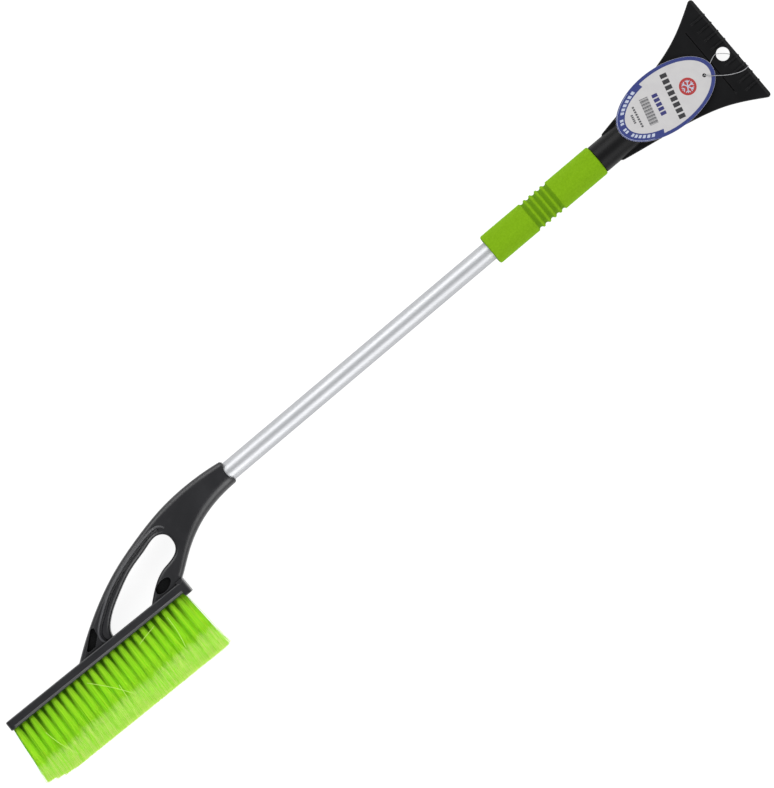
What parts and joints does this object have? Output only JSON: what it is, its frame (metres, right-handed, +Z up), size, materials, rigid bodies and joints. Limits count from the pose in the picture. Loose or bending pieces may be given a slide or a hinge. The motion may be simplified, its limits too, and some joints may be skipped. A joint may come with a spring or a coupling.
{
  "type": "snow brush scraper",
  "caption": "Long straight car snow brush: tufted brush head on an open arch, round aluminium handle with a ribbed foam grip, flared ice scraper with hang hole, oval hang tag.",
  "frame": {"origin": "centre of the hang hole, on the tube's axis and halfway through the scraper blade", "axes": "+X along the tube from the brush to the scraper, bristles towards -Y, +Z up out of the blade's ribbed face with the tool lying flat"},
  "size_m": [0.891, 0.1745, 0.034],
  "materials": {
    "brush_head_plastic": "satin moulded",
    "scraper_plastic": "satin moulded",
    "green_filament": "fine filaments",
    "anchor_wire": "flat wire",
    "anodised_aluminium": "satin anodised",
    "green_foam": "matte foam",
    "steel_screw": "zinc plated",
    "printed_card": "coated print",
    "clear_nylon": "clear thread"
  },
  "bodies": {
    "tool": {"brush_head": "brush_head_plastic", "bristle_row_1": "green_filament", "bristle_row_2": "green_filament", "bristle_row_3": "green_filament", "bristle_row_4": "green_filament", "tuft_anchors_1": "anchor_wire", "tuft_anchors_2": "anchor_wire", "tuft_anchors_3": "anchor_wire", "tuft_anchors_4": "anchor_wire", "handle_tube": "anodised_aluminium", "foam_grip": "green_foam", "scraper_head": "scraper_plastic", "retaining_screws": "steel_screw"},
    "thread": {"tag_thread": "clear_nylon"},
    "tag": {"tag_card": "printed_card"}
  },
  "joints": [
    {"name": "tag_swing", "type": "hinge", "parent": "tool", "child": "thread", "pos_m": [0, 0, 0], "axis": [0, 0, 1], "range_deg": [-20, 20], "deforming": ["tag_thread"]},
    {"name": "tag_lift", "type": "hinge", "parent": "thread", "child": "tag", "pos_m": [-0.0125, 0.0019, 0.00216], "axis": [0.061, 0.9981, 0], "range_deg": [0, 140]}
  ]
}
